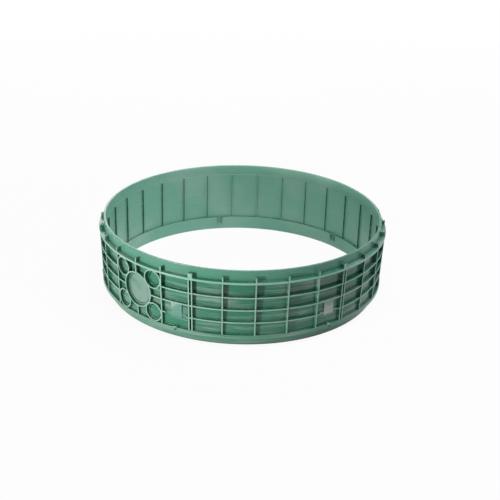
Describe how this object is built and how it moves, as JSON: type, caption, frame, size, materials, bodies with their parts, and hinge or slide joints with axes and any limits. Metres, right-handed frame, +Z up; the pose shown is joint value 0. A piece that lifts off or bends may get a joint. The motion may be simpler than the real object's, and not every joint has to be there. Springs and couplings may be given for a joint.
{
  "type": "septic tank riser",
  "caption": "Round moulded riser ring with flanges, stiffening rings and ribs, a stacking neck and spigot, and a panel of knock-outs.",
  "frame": {"origin": "centre of the ring, on the plane of its bottom edge", "axes": "+Z up along the ring's axis, towards the neck; -Y towards the knock-out panel; +X to the right of that panel"},
  "size_m": [0.6533, 0.6534, 0.1719],
  "materials": {
    "riser": "semi-gloss green moulded polypropylene"
  },
  "bodies": {
    "root": {"riser": "riser"}
  },
  "joints": []
}
